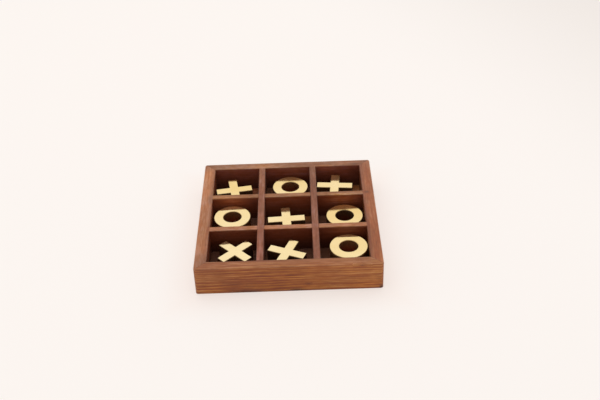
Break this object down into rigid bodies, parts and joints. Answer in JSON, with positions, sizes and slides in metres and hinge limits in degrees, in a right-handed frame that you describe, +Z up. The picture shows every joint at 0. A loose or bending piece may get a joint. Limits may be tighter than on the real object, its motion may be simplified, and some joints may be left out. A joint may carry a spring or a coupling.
{
  "type": "tic-tac-toe tray",
  "caption": "Square wooden tray with a grid of compartments, each holding a loose chunky brass cross or ring that lifts straight out.",
  "frame": {"origin": "middle of the tray's underside", "axes": "+Z up, +X to the right and +Y to the back as the picture shows the tray"},
  "size_m": [0.145, 0.145, 0.025],
  "materials": {
    "wall_wood": "satin",
    "divider_wood": "satin",
    "base_wood": "satin",
    "pin_steel": "satin",
    "piece_brass": "polished"
  },
  "bodies": {
    "tray": {"front_wall": "wall_wood", "right_wall": "wall_wood", "back_wall": "wall_wood", "left_wall": "wall_wood", "divider_left": "divider_wood", "divider_right": "divider_wood", "divider_front": "divider_wood", "divider_back": "divider_wood", "base_board": "base_wood", "base_pins": "pin_steel"},
    "cross_back_left": {"cross_back_left": "piece_brass"},
    "cross_back_right": {"cross_back_right": "piece_brass"},
    "cross_middle": {"cross_middle": "piece_brass"},
    "cross_front_left": {"cross_front_left": "piece_brass"},
    "cross_front_middle": {"cross_front_middle": "piece_brass"},
    "ring_back_middle": {"ring_back_middle": "piece_brass"},
    "ring_middle_left": {"ring_middle_left": "piece_brass"},
    "ring_middle_right": {"ring_middle_right": "piece_brass"},
    "ring_front_right": {"ring_front_right": "piece_brass"}
  },
  "joints": [
    {"name": "lift_cross_back_left", "type": "slide", "parent": "tray", "child": "cross_back_left", "axis": [0, 0, 1], "range_m": [0, 0.03]},
    {"name": "lift_cross_back_right", "type": "slide", "parent": "tray", "child": "cross_back_right", "axis": [0, 0, 1], "range_m": [0, 0.03]},
    {"name": "lift_cross_middle", "type": "slide", "parent": "tray", "child": "cross_middle", "axis": [0, 0, 1], "range_m": [0, 0.03]},
    {"name": "lift_cross_front_left", "type": "slide", "parent": "tray", "child": "cross_front_left", "axis": [0, 0, 1], "range_m": [0, 0.03]},
    {"name": "lift_cross_front_middle", "type": "slide", "parent": "tray", "child": "cross_front_middle", "axis": [0, 0, 1], "range_m": [0, 0.03]},
    {"name": "lift_ring_back_middle", "type": "slide", "parent": "tray", "child": "ring_back_middle", "axis": [0, 0, 1], "range_m": [0, 0.03]},
    {"name": "lift_ring_middle_left", "type": "slide", "parent": "tray", "child": "ring_middle_left", "axis": [0, 0, 1], "range_m": [0, 0.03]},
    {"name": "lift_ring_middle_right", "type": "slide", "parent": "tray", "child": "ring_middle_right", "axis": [0, 0, 1], "range_m": [0, 0.03]},
    {"name": "lift_ring_front_right", "type": "slide", "parent": "tray", "child": "ring_front_right", "axis": [0, 0, 1], "range_m": [0, 0.03]}
  ]
}
